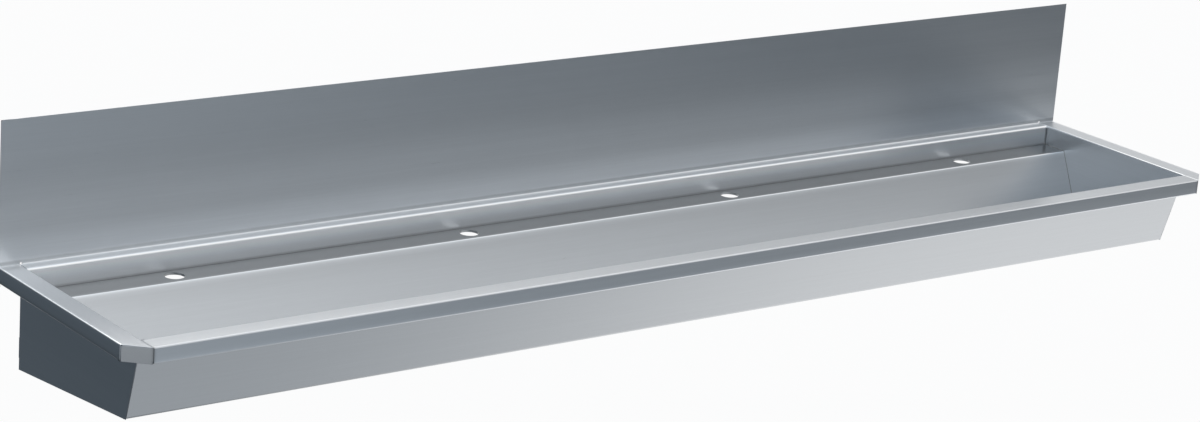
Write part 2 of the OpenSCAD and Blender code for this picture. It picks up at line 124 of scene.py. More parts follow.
END_WALL_GAP = 0.004
FRONT_DROP = 0.146
REAR_DROP = 0.183
FRONT_LEAN = math.radians(16)
BACK_LEAN = math.radians(24)


def unit(v):
    return np.asarray(v, float) / np.linalg.norm(v)


def meet(p, d, q, e):
    """The point where the line from p along d meets the line from q along e, in a plane."""
    p, d, q, e = (np.asarray(v, float) for v in (p, d, q, e))
    return p + d * np.cross(q - p, e) / np.cross(d, e)


# The waste in its level dish
WASTE_OFFSET = 0.058
DISH_R = 0.046
DISH_DEPTH = 0.007
DISH_LEAN = math.radians(12)
DISH_HOLE_R = 0.026
DISH_EASE = 0.003
# The dish's shoulder ends on this circle, inside a square patch of the floor
DISH_PATCH_R = 0.0505
DISH_PATCH = 0.052

# Lines of the Y-Z section: down the front wall, down the basin back and back along the floor
FRONT_DIR = np.array([math.sin(FRONT_LEAN), -math.cos(FRONT_LEAN)])
SLOPE_DIR = np.array([-math.sin(BACK_LEAN), -math.cos(BACK_LEAN)])
FRONT_OUTER = np.array([RIM_BACK_Y - SHEET * math.cos(FRONT_LEAN), -SHEET * math.sin(FRONT_LEAN)])
FRONT_FOOT = meet(FRONT_OUTER, FRONT_DIR, (0, -FRONT_DROP), (1, 0))
FLOOR_ANGLE = math.atan((REAR_DROP - FRONT_DROP) / -FRONT_FOOT[0])
FLOOR_DIR = np.array([math.cos(FLOOR_ANGLE), -math.sin(FLOOR_ANGLE)])
FLOOR_POINT = np.array([SHEET * math.sin(FLOOR_ANGLE), SHEET * math.cos(FLOOR_ANGLE) - REAR_DROP])
TAP_CORNER = np.array([TAP_LEDGE_FRONT_Y, -TAP_LEDGE_DROP])
JOINT_POINT = TAP_CORNER + JOINT_FLANGE * SLOPE_DIR
FRONT_CORNER = meet((RIM_BACK_Y, 0), FRONT_DIR, FLOOR_POINT, FLOOR_DIR)
BACK_CORNER = meet(TAP_CORNER, SLOPE_DIR, FLOOR_POINT, FLOOR_DIR)
WASTE_Y = BACK_CORNER[0] - WASTE_OFFSET
FLOOR_AT_WASTE = meet((WASTE_Y, 0), (0, 1), FLOOR_POINT, FLOOR_DIR)[1]
DISH_Z = FLOOR_AT_WASTE - DISH_DEPTH

# Distances from the wall along the underside of the floor, the first one clear of the rear fold
REAR_FOLD_MARGIN = 0.015
UNDER_BACK = BACK_CORNER[0] / math.cos(FLOOR_ANGLE) - REAR_FOLD_MARGIN
UNDER_FRONT = FRONT_FOOT[0] / math.cos(FLOOR_ANGLE)

# The bitumen sheets under the floor and the rubber feet of the ribs
SOUND_PAD_MARGIN = 0.025
SOUND_PAD_T = 0.003
PAD_STEP = 0.0015
CUSHION = 0.012
CUSHION_SLOPE = 2.5
EMBOSS = 0.0006
RIB_T = 0.003
PAD_T = 0.003
PAD_CLEARANCE = 0.0001
PAD_EASE = 0.0006
PAD_RIBS = 6
PAD_RIB_STEPS = 12
PAD_GROOVE = 0.0007
RIB_EASE = 0.0004

# The waste's parts, with their heights over the rim
ROUND_STEPS = 96
GASKET_EASE = 0.0004
TAIL_R = 0.0239
TAIL_LENGTH = 0.030
TAIL_Z = DISH_Z - SHEET - TAIL_LENGTH
TAIL_STEPS = 160
TAIL_CHAMFER = 0.0006
TAIL_CLEARANCE = 0.0003
THROAT_R = 0.0205
FLANGE_GASKET_T = 0.0015
FLANGE_GASKET_INSET = 0.0015
FLANGE_R = 0.038
FLANGE_T = 0.0025
FLANGE_Z = DISH_Z + FLANGE_GASKET_T
FLANGE_TOP = FLANGE_Z + FLANGE_T
FLANGE_EASE = 0.0007
GASKET_T = 0.0025
GASKET_Z = DISH_Z - SHEET - GASKET_T
WASHER_R = 0.036
WASHER_T = 0.0012
WASHER_Z = GASKET_Z - WASHER_T
NUT_STEPS = 144
NUT_T = 0.007
NUT_Z = WASHER_Z - NUT_T
NUT_FLATS = 0.062
NUT_CHAMFER = 0.0006
NUT_CHAMFER_ANGLE = math.radians(30)
# The chamfer of the nut's bore, and the height of the close rows at its outer edges
NUT_EDGE = 0.0008
NUT_SIDE_ROWS = 7
NUT_BORE_ROWS = 9
NUT_FACE_ROWS = 3
GROOVE_OFFSET = 0.0015
GROOVE_WIDTH = 0.0025
GROOVE_DEPTH = 0.0012
GROOVE_SIDE = 0.0001
THREAD_PITCH = 0.002309
THREAD_DEPTH = 0.0011
# The thread runs out over this height at both ends, the upper one this far below the flange
THREAD_LEAD = 0.003
THREAD_STOP = 0.002

# The strainer, whose cap lies LIFT_CLEARANCE above the waste's flange
LIFT_CLEARANCE = 0.0003
STRAINER_R = 0.031
STRAINER_T = 0.0015
STRAINER_STEPS = 72
STRAINER_EASE = 0.00025
# The cap's grid begins and ends at this angle, between two holes
STRAINER_SEAM = math.radians(18)
STRAINER_HOLE_R = 0.00225
STRAINER_PATCH = 0.003
# The cap's top rolls off by this drop over the last width of its edge
ROLL_WIDTH = 0.001
ROLL_DROP = 0.0002
# Its rings of holes: how many, and their radius
STRAINER_RINGS = ((6, 0.0095), (12, 0.0155))
SKIRT_DEPTH = 0.012
SKIRT_WALL = 0.0012
KNOB_R = 0.005
KNOB_H = 0.009
KNOB_EASE = 0.0012
# How far the cap reaches under the knob's neck
NECK_LAP = 0.0005


def node(tree, kind, **settings):
    """A new node; settings are its properties, or its inputs where a key is in_NAME or in_NUMBER."""
    made = tree.nodes.new(kind)
    for key, value in settings.items():
        if key.startswith("in_"):
            name = key[3:]
            socket = made.inputs[int(name)] if name.isdigit() else made.inputs[name.replace("_", " ")]
            if isinstance(value, bpy.types.NodeSocket):
                tree.links.new(value, socket)
            else:
                socket.default_value = value
        else:
            setattr(made, key, value)
    return made


def numbered(values):
    """Values as settings of a node's first inputs."""
    return {f"in_{i}": value for i, value in enumerate(values)}


def math_node(tree, operation, *values):
    """The output of a Math node on values or sockets."""
    return node(tree, "ShaderNodeMath", operation=operation, **numbered(values)).outputs[0]


def vector_node(tree, operation, *values, output="Vector"):
    """An output of a Vector Math node on vectors or sockets."""
    return node(tree, "ShaderNodeVectorMath", operation=operation, **numbered(values)).outputs[output]


def scaled(tree, vector, factor):
    """A colour or a vector times a factor."""
    return node(tree, "ShaderNodeVectorMath", operation="SCALE", in_0=vector, in_Scale=factor).outputs[0]


def noise(tree, place, scale, detail, roughness=0.5):
    """A noise's value at a place."""
    return node(tree, "ShaderNodeTexNoise", in_Vector=place, in_Scale=scale, in_Detail=detail,
                in_Roughness=roughness).outputs["Fac"]


def bump(tree, height, distance):
    """The normal of a surface raised by height * distance."""
    return node(tree, "ShaderNodeBump", in_Strength=1.0, in_Distance=distance, in_Height=height).outputs[0]


def object_place(tree):
    """The place on the object, in metres."""
    return node(tree, "ShaderNodeTexCoord").outputs["Object"]


def new_material(name):
    """An empty node material and its tree."""
    made = bpy.data.materials.new(name)
    made.use_nodes = True
    made.node_tree.nodes.clear()
    return made, made.node_tree


def show(tree, shader):
    """Makes a shader the material's surface."""
    node(tree, "ShaderNodeOutputMaterial", in_Surface=shader.outputs[0])


ORIGIN = (0, 0, 0)
# The kinds of the groups' sockets, by the size of their values
SOCKET_KINDS = {1: "NodeSocketFloat", 3: "NodeSocketVector", 4: "NodeSocketColor"}
SKIN_SOCKETS = {"Shade": 4, "Rough": 1, "Height": 1}


def new_group(name, inputs, outputs):
    """A node group by its inputs' defaults and its outputs' sizes: its tree, its inputs, its outputs."""
    group = bpy.data.node_groups.new(name, "ShaderNodeTree")
    for key, default in inputs.items():
        kind = SOCKET_KINDS[np.size(default)]
        group.interface.new_socket(key, in_out="INPUT", socket_type=kind).default_value = default
    for key, size in outputs.items():
        group.interface.new_socket(key, in_out="OUTPUT", socket_type=SOCKET_KINDS[size])
    return group, group.nodes.new("NodeGroupInput").outputs, group.nodes.new("NodeGroupOutput").inputs


def give_skin(group, given, made, mixed, height):
    """Makes a skin's outputs from a mixed noise: Shade and Rough near their inputs, Height for a bump."""
    centred = math_node(group, "SUBTRACT", mixed, 0.5)
    gain = math_node(group, "MULTIPLY_ADD", centred, given["Contrast"], 1.0)
    rough = math_node(group, "MULTIPLY_ADD", centred, given["Roughness Change"], given["Roughness"])
    group.links.new(scaled(group, given["Colour"], gain), made["Shade"])
    group.links.new(rough, made["Rough"])
    group.links.new(height, made["Height"])


def brushing_group():
    """Streaks along the grain, as fine and broad noise in a Place that counts in streak sizes."""
    group, given, made = new_group(
        "brushing", {"Place": ORIGIN, "Colour": (0.6, 0.6, 0.6, 1), "Contrast": 0.1, "Roughness": 0.3,
                     "Roughness Change": 0.05}, SKIN_SOCKETS)
    fine = noise(group, given["Place"], 1.0, 3.0, 0.6)
    broad = noise(group, given["Place"], 0.11, 2.0, 0.55)
    both = math_node(group, "MULTIPLY_ADD", fine, 0.6, math_node(group, "MULTIPLY", broad, 0.4))
    give_skin(group, given, made, both, both)
    return group


def give_factor(group, given, made, share):
    """Makes the Factor of a tone: 1 where share is 0, and Gain where it is 1."""
    change = math_node(group, "SUBTRACT", given["Gain"], 1.0)
    group.links.new(math_node(group, "MULTIPLY_ADD", share, change, 1.0), made["Factor"])


def level_tone_group():
    """Painted light and shade of what lies at one height: Factor is Gain within Reach of Height, and 1 from
    Reach + Fade on; a Gain over 1 paints light and one under 1 paints shade."""
    group, given, made = new_group(
        "level_tone", {"Place": ORIGIN, "Height": 0.0, "Reach": 0.0003, "Fade": 0.001, "Gain": 1.0},
        {"Factor": 1})
    z = node(group, "ShaderNodeSeparateXYZ", in_0=given["Place"]).outputs["Z"]
    away = math_node(group, "ABSOLUTE", math_node(group, "SUBTRACT", z, given["Height"]))
    end = math_node(group, "ADD", given["Reach"], given["Fade"])
    share = node(group, "ShaderNodeMapRange", interpolation_type="SMOOTHSTEP",
                 **numbered((away, given["Reach"], end, 1.0, 0.0)))
    give_factor(group, given, made, share.outputs[0])
    return group


def fold_tone_group():
    """Painted highlights along folds and painted shade along creases and seams through Corner: Factor is Gain
    there, and goes back to 1 as exp(-distance / Reach). Across is 1 on the axes that count and 0 along the
    fold, and X counts from the middle to both sides."""
    group, given, made = new_group(
        "fold_tone", {"Place": ORIGIN, "Corner": ORIGIN, "Across": (0, 1, 1), "Reach": 0.001, "Gain": 1.0},
        {"Factor": 1})
    split = node(group, "ShaderNodeSeparateXYZ", in_0=given["Place"]).outputs
    aside = math_node(group, "ABSOLUTE", split["X"])
    place = node(group, "ShaderNodeCombineXYZ", in_0=aside, in_1=split["Y"], in_2=split["Z"])
    apart = vector_node(group, "SUBTRACT", place.outputs[0], given["Corner"])
    across = vector_node(group, "MULTIPLY", apart, given["Across"])
    away = vector_node(group, "LENGTH", across, output="Value")
    far = math_node(group, "DIVIDE", away, given["Reach"])
    give_factor(group, given, made, math_node(group, "EXPONENT", math_node(group, "MULTIPLY", far, -1.0)))
    return group


brushing = brushing_group()
level_tone = level_tone_group()
fold_tone = fold_tone_group()


def brushed(name, grain, colour=(0.645, 0.664, 0.683), roughness=0.3, contrast=0.16, change=0.12,
            anisotropic=0.3, long=18.0, fine=1600.0, depth=3e-6, levels=(), folds=()):
    """Metal brushed along the axis grain, with long and fine streaks to the metre. Its highlights spread
    across the grain. levels holds the (height, reach, fade, gain) of faces with painted light and shade, and
    folds the (corner, across, reach, gain) of painted highlights on folds and of painted shade in creases and
    seams."""
    made, tree = new_material(name)
    scale = [fine, fine, fine]
    scale["XYZ".index(grain)] = long
    at = object_place(tree)
    place = node(tree, "ShaderNodeMapping", in_Vector=at, in_Scale=scale).outputs[0]
    effect = node(tree, "ShaderNodeGroup", node_tree=brushing, in_Place=place, in_Colour=(*colour, 1),
                  in_Contrast=contrast, in_Roughness=roughness, in_Roughness_Change=change)
    shade = effect.outputs["Shade"]
    # Each tone paints light or shade into the colour by its factor
    for group, tones in ((level_tone, levels), (fold_tone, folds)):
        for tone in tones:
            painted_tone = node(tree, "ShaderNodeGroup", node_tree=group, **numbered((at, *tone)))
            shade = scaled(tree, shade, painted_tone.outputs["Factor"])
    tangent = node(tree, "ShaderNodeCombineXYZ", **{f"in_{'XYZ'.index(grain)}": 1.0})
    show(tree, node(tree, "ShaderNodeBsdfPrincipled", in_Base_Color=shade, in_Metallic=1.0,
                    in_Roughness=effect.outputs["Rough"], in_Anisotropic=anisotropic,
                    in_Anisotropic_Rotation=0.25, in_Tangent=tangent.outputs[0],
                    in_Normal=bump(tree, effect.outputs["Height"], depth)))
    return made


def ground_weld(name, colour, straw, roughness):
    """A weld that was ground by hand: short strokes, and a faint straw tint left by the heat."""
    made, tree = new_material(name)
    place = object_place(tree)
    strokes = noise(tree, place, 900.0, 3.0)
    # The colours of this node are its inputs 6 and 7 and its output 2
    tint = node(tree, "ShaderNodeMix", data_type="RGBA", in_0=noise(tree, place, 25.0, 1.0),
                in_6=(*colour, 1), in_7=(*straw, 1))
    show(tree, node(tree, "ShaderNodeBsdfPrincipled", in_Base_Color=tint.outputs[2], in_Metallic=1.0,
                    in_Roughness=math_node(tree, "MULTIPLY_ADD", strokes, 0.2, roughness - 0.1),
                    in_Normal=bump(tree, strokes, 8e-6)))
    return made


def polished_metal(name, colour):
    """Chromed brass with faint wiping marks."""
    made, tree = new_material(name)
    marks = noise(tree, object_place(tree), 60.0, 5.0, 0.7)
    show(tree, node(tree, "ShaderNodeBsdfPrincipled", in_Base_Color=(*colour, 1), in_Metallic=1.0,
                    in_Roughness=math_node(tree, "MULTIPLY_ADD", marks, 0.14, 0.06)))
    return made


def grained_group():
    """A moulded or rolled skin: Shade is the colour times a soft cloud and a fine speckle, Height is the
    grain."""
    group, given, made = new_group(
        "grained_skin", {"Place": ORIGIN, "Colour": (0.1, 0.1, 0.1, 1), "Grain": 900.0, "Contrast": 0.3,
                         "Roughness": 0.6, "Roughness Change": 0.3}, SKIN_SOCKETS)
    cloud = noise(group, given["Place"], 14.0, 3.0)
    grain = noise(group, given["Place"], given["Grain"], 2.0)
    mixed = math_node(group, "MULTIPLY_ADD", cloud, 0.7, math_node(group, "MULTIPLY", grain, 0.3))
    give_skin(group, given, made, mixed, grain)
    return group


grained_skin = grained_group()


def moulded(name, colour, grain, contrast, depth, specular):
    """Rubber, plastic or bitumen with a grained skin."""
    made, tree = new_material(name)
    effect = node(tree, "ShaderNodeGroup", node_tree=grained_skin, in_Colour=(*colour, 1), in_Grain=grain,
                  in_Place=object_place(tree), in_Contrast=contrast).outputs
    show(tree, node(tree, "ShaderNodeBsdfPrincipled", in_Base_Color=effect["Shade"],
                    in_Roughness=effect["Rough"], in_Specular_IOR_Level=specular,
                    in_Normal=bump(tree, effect["Height"], depth)))
    return made


# Painted light and shade in the steel's colour: the rims are painted lighter, the ledge, the back wall and
# the lowest part of the splashback are painted lighter, the tap ledge and the splashback's foot carry painted
# shade of the recess and the corner, and the splashback's upper part is painted darker. Each tone holds its
# height, its reach, the fade beyond it and its gain.
RIM_PAINTED_LIGHT = (RIM_Z, 0.0003, 0.001, 1.15)
SPLASH_TOP_PAINTED_SHADE = (RIM_Z + SPLASH_TOP, 0.08, 0.09, 0.83)
SPLASH_PAINTED_SHEEN = (RIM_Z + 0.015, 0.008, 0.045, 1.2)
SPLASH_FOOT_PAINTED_SHADE = (RIM_Z + 0.005, 0.001, 0.004, 0.7)
BACK_WALL_PAINTED_LIGHT = (RIM_Z - 0.018, 0.015, 0.005, 1.4)
TAP_LEDGE_PAINTED_SHADE = (RIM_Z - TAP_LEDGE_DROP, 0.0002, 0.0004, 0.44)
# Painted highlights brighten the folds, painted shade darkens the crease, the lip's seam and the side lips'
# underside, and painted shade darkens the basin's back below the tap ledge. Each holds its corner, the axes
# across it, its reach and its gain.
TAP_FOLD = (0, TAP_LEDGE_FRONT_Y, RIM_Z - TAP_LEDGE_DROP)
CREASE_PAINTED_SHADE = ((0, BACK_WALL_Y, RIM_Z - TAP_LEDGE_DROP), (0, 1, 1), 0.0006, 0.5)
LIP_SEAM_PAINTED_SHADE = ((END_X, FRONT_Y, 0), (1, 1, 0), 0.0015, 0.1)
SIDE_LIP_PAINTED_SHADE = ((HALF_LENGTH, 0, RIM_Z - LIP_DROP), (1, 0, 1), 0.003, 0.15)
BASIN_BACK_PAINTED_SHADE = (TAP_FOLD, (0, 1, 1), 0.04, 0.85)
TAP_FOLD_PAINTED_HIGHLIGHT = (TAP_FOLD, (0, 1, 1), 0.003, 1.9)
LIP_FOOT_PAINTED_HIGHLIGHT = ((0, FRONT_Y, RIM_Z - LIP_DROP), (0, 1, 1), 0.003, 1.5)
SIDE_RIM_PAINTED_HIGHLIGHT = ((HALF_LENGTH, 0, RIM_Z), (1, 0, 1), 0.003, 1.35)
BACK_PAINTED_LEVELS = [SPLASH_TOP_PAINTED_SHADE, SPLASH_PAINTED_SHEEN, SPLASH_FOOT_PAINTED_SHADE, BACK_WALL_PAINTED_LIGHT, TAP_LEDGE_PAINTED_SHADE]
# The steels carry the painted light and shade of the tones above in their colour
back_steel = brushed("satin_steel_back", "X", levels=BACK_PAINTED_LEVELS,
                     folds=[CREASE_PAINTED_SHADE, BASIN_BACK_PAINTED_SHADE, TAP_FOLD_PAINTED_HIGHLIGHT])
basin_steel = brushed("satin_steel_basin", "X", levels=[RIM_PAINTED_LIGHT],
                      folds=[BASIN_BACK_PAINTED_SHADE, LIP_SEAM_PAINTED_SHADE, LIP_FOOT_PAINTED_HIGHLIGHT])
end_steel = brushed("satin_steel_ends", "Y", levels=[RIM_PAINTED_LIGHT],
                    folds=[SIDE_RIM_PAINTED_HIGHLIGHT, SIDE_LIP_PAINTED_SHADE])
plate_steel = brushed("satin_steel_plates", "Y", folds=[LIP_SEAM_PAINTED_SHADE])
# A ground weld is duller than the sheet, and its dark colour is also painted shade that draws the dark line
# in the corners of the basin and the end walls
weld_steel_and_corner_shade = ground_weld("ground_weld", (0.3, 0.305, 0.31), (0.3, 0.29585, 0.279), 0.45)
# The hidden brackets keep the mill's coarser and darker finish
MILL_FINISH = {"colour": (0.5, 0.51, 0.52), "roughness": 0.42, "contrast": 0.3, "change": 0.25,
               "anisotropic": 0.2, "long": 60.0, "fine": 500.0}
bracket = brushed("mill_finish_steel", "X", **MILL_FINISH)
rib_steel = brushed("laser_cut_steel", "Z", **MILL_FINISH)
waste_metal = polished_metal("polished_waste", (0.76, 0.77, 0.78))
rubber = moulded("gasket_rubber", (0.04, 0.04, 0.045), 1500.0, 0.4, 1e-5, 0.35)
pad_rubber = moulded("ribbed_rubber", (0.06, 0.06, 0.065), 1200.0, 0.4, 1.5e-5, 0.35)
washer_plastic = moulded("slip_plastic", (0.72, 0.71, 0.66), 600.0, 0.06, 4e-6, 0.5)
nut_plastic = moulded("nut_plastic", (0.1, 0.1, 0.105), 1800.0, 0.25, 1.5e-5, 0.5)
bitumen = moulded("bitumen_sheet", (0.11, 0.11, 0.115), 700.0, 0.5, 4e-5, 0.3)

# The room: a dim bluish colour, and broad soft lights of three tints. Each light has its azimuth from +Y
# towards +X, its height above the horizon, both in degrees, its strength, its tint and its sharpness.
WHITE = (1.0, 1.0, 1.0)
COOL = (0.9, 1.0, 1.1)
WARM = (1.06, 1.0, 0.94)
ROOM_COLOUR = (0.08, 0.1, 0.12)
GLOWS = [
    # Beside the left end
    (-120, 0, 0.9, WHITE, 20),
    (-120, 40, 1.05, COOL, 14),
    # Over the wall, from left to right
    (0, 40, 1.3, WHITE, 14),
    (20, 20, 0.75, WHITE, 20),
    (25, 40, 1.0, WARM, 14),
    (50, 40, 0.6, WHITE, 14),
    (100, 40, 0.65, WARM, 14),
    # Above
    (0, 90, 1.0, COOL, 12),
    # In front of the trough, from high to low
    (180, 62, 1.25, WHITE, 14),
    (125, 40, 0.55, WHITE, 14),
    (180, 20, 1.75, WHITE, 20),
    (160, 20, 0.55, WHITE, 20),
    (165, -20, 0.46, COOL, 20),
    (140, -50, 0.43, WHITE, 14),
]


def set_surroundings():
    """A room of soft light: a plain colour and broad glows, each strength * tint * exp(sharpness *
    (cosine - 1)), where the cosine is that of the angle to the glow's direction."""
    world = bpy.data.worlds.new("soft_room")
    bpy.context.scene.world = world
    world.use_nodes = True
    tree = world.node_tree
    tree.nodes.clear()
    direction = node(tree, "ShaderNodeTexCoord").outputs["Generated"]
    total = node(tree, "ShaderNodeCombineXYZ", **numbered(ROOM_COLOUR)).outputs[0]
    for azimuth, height, strength, tint, sharpness in GLOWS:
        a, h = math.radians(azimuth), math.radians(height)
        towards = (math.sin(a) * math.cos(h), math.cos(a) * math.cos(h), math.sin(h))
        cosine = vector_node(tree, "DOT_PRODUCT", direction, towards, output="Value")
        reach = math_node(tree, "MULTIPLY", math_node(tree, "SUBTRACT", cosine, 1.0), float(sharpness))
        share = math_node(tree, "MULTIPLY", math_node(tree, "EXPONENT", reach), strength)
        total = vector_node(tree, "ADD", total, scaled(tree, tint, share))
    light = node(tree, "ShaderNodeBackground", in_Color=total)
    tree.links.new(light.outputs[0], node(tree, "ShaderNodeOutputWorld").inputs["Surface"])


set_surroundings()


def bend(corners, radii):
    """The visible face of a folded sheet in its section's plane: straight legs with an arc of equal
    turns at each inner corner. A left turn has its inside radius on the visible face, and a right turn
    radius + SHEET."""
    p = np.array(corners, float)
    points = [p[:1]]
    for before, corner, after, inside in zip(p, p[1:], p[2:], radii):
        d, e = unit(corner - before), unit(after - corner)
        side = np.sign(np.cross(d, e))
        turn = math.acos(d @ e)
        r = inside if side > 0 else inside + SHEET
        normal = side * np.array([-d[1], d[0]])
        centre = corner - d * r * math.tan(turn / 2) + normal * r
        angle = turn * np.arange(BEND_STEPS + 1) / BEND_STEPS
        points.append(centre - r * (np.outer(np.cos(angle), normal) - np.outer(np.sin(angle), d)))
    points.append(p[-1:])
    return np.concatenate(points)


def run_of(section):
    """The distance along a section of each of its points."""
    return np.concatenate([[0], np.cumsum(np.linalg.norm(np.diff(section, axis=0), axis=1))])


def run_at(section, y, drop):
    """The distance along a section of its point nearest to (y, drop)."""
    legs = np.diff(section, axis=0)
    apart = np.array([y, drop]) - section[:-1]
    share = np.clip((apart * legs).sum(axis=1) / (legs ** 2).sum(axis=1), 0, 1)
    away = np.linalg.norm(share[:, None] * legs - apart, axis=1)
    k = np.argmin(away)
    return run_of(section)[k] + share[k] * np.linalg.norm(legs[k])


def lines(*groups):
    """Sorted grid lines from several groups, without doubles."""
    values = np.sort(np.concatenate([np.atleast_1d(g) for g in groups]))
    return values[np.concatenate([[True], np.diff(values) > SAME_PLACE])]


def places(x, y, z):
    """Points from their coordinates, which may be numbers or grids."""
    return np.stack(np.broadcast_arrays(x, y, z), axis=-1)


def numbers(points):
    """Vertex numbers in the layout of a grid of points."""
    return np.arange(points[..., 0].size).reshape(points.shape[:-1])


def wrapped(index, down=False):
    """A grid of vertex numbers with its first column again after its last, and its first row too where
    down."""
    index = np.hstack([index, index[:, :1]])
    return np.vstack([index, index[:1]]) if down else index


def quads(index, turned=False):
    """Quads over a grid of vertex numbers: the normal is the second direction crossed with the first, or
    the other way round where turned."""
    a, b, c, d = index[:-1, :-1], index[:-1, 1:], index[1:, 1:], index[1:, :-1]
    return np.stack([a, d, c, b] if turned else [a, b, c, d], axis=-1).reshape(-1, 4)


def tube(points, down=False, turned=False):
    """A grid of points and its quads, closed across, and down as well where down."""
    return points, quads(wrapped(numbers(points), down), turned)


def punched_grid(us, xs, holes=(), side=12, rings=4, kept=None, place=None):
    """A flat blank: quads over the lines us and xs, laid in the plane by place(u, x). Each hole (u, x,
    r, half_u, half_x) takes the cells round its centre away, and rings pass evenly from that patch's
    border to its circle. kept(u, x) says which faces stay, by their centres."""
    place = place or (lambda u, x: (u, x))
    share = np.linspace(-1, 1, side + 1)
    us = lines(us, *[h[0] + h[3] * share for h in holes])
    xs = lines(xs, *[h[1] + h[4] * share for h in holes])
    index = np.arange(len(us) * len(xs)).reshape(len(us), len(xs))
    whole = np.ones((len(us) - 1, len(xs) - 1), bool)
    u, x = place(np.repeat(us, len(xs)), np.tile(xs, len(us)))
    ring_faces = []
    for hole_u, hole_x, r, half_u, half_x in holes:
        low, high = np.searchsorted(us, hole_u + half_u * np.array([-1, 1]) - SAME_PLACE)
        left, right = np.searchsorted(xs, hole_x + half_x * np.array([-1, 1]) - SAME_PLACE)
        whole[low:high, left:right] = False
        border = np.concatenate([index[low, left:right], index[low:high, right], index[high, right:left:-1],
                                 index[high:low:-1, left]])
        centre_u, centre_x = place(np.float64(hole_u), np.float64(hole_x))
        angle = np.arctan2(u[border] - centre_u, x[border] - centre_x)
        t = np.arange(1, rings + 1)[:, None] / rings
        ring_u = (1 - t) * u[border] + t * (centre_u + r * np.sin(angle))
        ring_x = (1 - t) * x[border] + t * (centre_x + r * np.cos(angle))
        ring_index = np.vstack([border, len(u) + np.arange(rings * len(border)).reshape(rings, -1)])
        u, x = np.concatenate([u, ring_u.ravel()]), np.concatenate([x, ring_x.ravel()])
        ring_faces.append(quads(wrapped(ring_index)))
    faces = np.concatenate([quads(index)[whole.ravel()], *ring_faces])
    if kept:
        faces = faces[kept(u[faces].mean(axis=1), x[faces].mean(axis=1))]
    return u, x, faces


def fold_up(section, u, x):
    """A flat blank's points folded along a section: x stays, and the distance u gives Y and Z."""
    y, drop = (np.interp(u, run_of(section), values) for values in section.T)
    return places(x, y, RIM_Z + drop)


def stitched(*patches):
    """One set of points and quads from several (points, quads), with points in the same place merged."""
    points = np.concatenate([p.reshape(-1, 3) for p, _ in patches])
    starts = np.cumsum([0] + [p.size // 3 for p, _ in patches])
    faces = np.concatenate([f + s for (_, f), s in zip(patches, starts)])
    used, faces = np.unique(faces, return_inverse=True)
    points = points[used]
    _, first, same = np.unique(np.round(points, SAME_DECIMALS), axis=0, return_index=True,
                               return_inverse=True)
    return points[first], same.ravel()[faces.reshape(-1, 4)]


def without_doubles(faces):
    """Faces as lists: a quad with a repeated corner becomes a triangle, and one that fell into a line is
    left out."""
    repeated = (faces == np.roll(faces, 1, axis=1)).any(axis=1)
    narrowed = [list(dict.fromkeys(corners)) for corners in faces[repeated].tolist()]
    return faces[~repeated].tolist() + [corners for corners in narrowed if len(corners) > 2]


def make_piece(name, points, faces, material, slot, body="root", replaced=()):
    """A piece from points and faces in the frame's own place."""
    mesh = bpy.data.meshes.new(name)
    mesh.from_pydata(points, [], without_doubles(faces))
    return place_piece(mesh, material, body, replaced)


def place_piece(mesh, material, body="root", replaced=()):
    """A smooth-shaded piece with a mesh's name that rides on a body and stands for CAD nodes."""
    mesh.shade_smooth()
    mesh.materials.append(material)
    piece = bpy.data.objects.new(mesh.name, mesh)
    bpy.context.scene.collection.objects.link(piece)
    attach(piece, body)
    if replaced:
        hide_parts(*replaced)
    return piece


def give_thickness(piece, thickness=SHEET):
    """The sheet's thickness, laid behind its visible face."""
    solid = piece.modifiers.new("thickness", "SOLIDIFY")
    solid.thickness = thickness
    solid.offset = -1
    solid.use_even_offset = True


def mesh_values(items, key, kind, width):
    """A property of a mesh's vertices, edges or loops, in rows."""
    values = np.empty(len(items) * width, kind)
    items.foreach_get(key, values)
    return values.reshape(-1, width)


def ease_edges(piece, width=EDGE_EASE, flush=None):
    """Rounds the cut edges of a sheet, but not those that flush(x, y, z) names, which lie sharp against
    another piece."""
    mesh = piece.data
    edges = mesh_values(mesh.edges, "vertices", np.int32, 2)
    loops = mesh_values(mesh.loops, "edge_index", np.int32, 1)
    cut = np.bincount(loops.ravel(), minlength=len(edges)) == 1
    if flush:
        middle = mesh_values(mesh.vertices, "co", np.float32, 3)[edges].mean(axis=1)
        sharp = cut & flush(*middle.T)
        mesh.attributes.new("sharp_edge", "BOOLEAN", "EDGE").data.foreach_set("value", sharp)
        cut &= ~sharp
    weights = mesh.attributes.new("bevel_weight_edge", "FLOAT", "EDGE")
    weights.data.foreach_set("value", cut.astype(np.float32))
    round_edges(piece, width, "WEIGHT")


def round_edges(piece, width, chosen_by):
    """Rounds the edges chosen by their weight, or by an angle over SHARP_ANGLE."""
    ease = piece.modifiers.new("eased_edges", "BEVEL")
    ease.limit_method = chosen_by
    ease.angle_limit = SHARP_ANGLE
    ease.width = width
    ease.segments = 2
    level_shading(piece)


def sheet_piece(name, points, faces, steel, replaced, flush):
    """A folded sheet from its visible face, with its thickness and its rounded edges."""
    piece = make_piece(name, points, faces, steel, "satin_sheet", replaced=[replaced])
    give_thickness(piece)
    ease_edges(piece, flush=flush)


def level_shading(piece):
    """Keeps flat faces flat in the shading and lets the folds turn smoothly."""
    shading = piece.modifiers.new("level_shading", "WEIGHTED_NORMAL")
    shading.weight = 100
    shading.keep_sharp = True


def at_end(x):
    """Whether places lie in the plane of an end wall's face."""
    return abs(abs(x) - END_X) < TOUCH


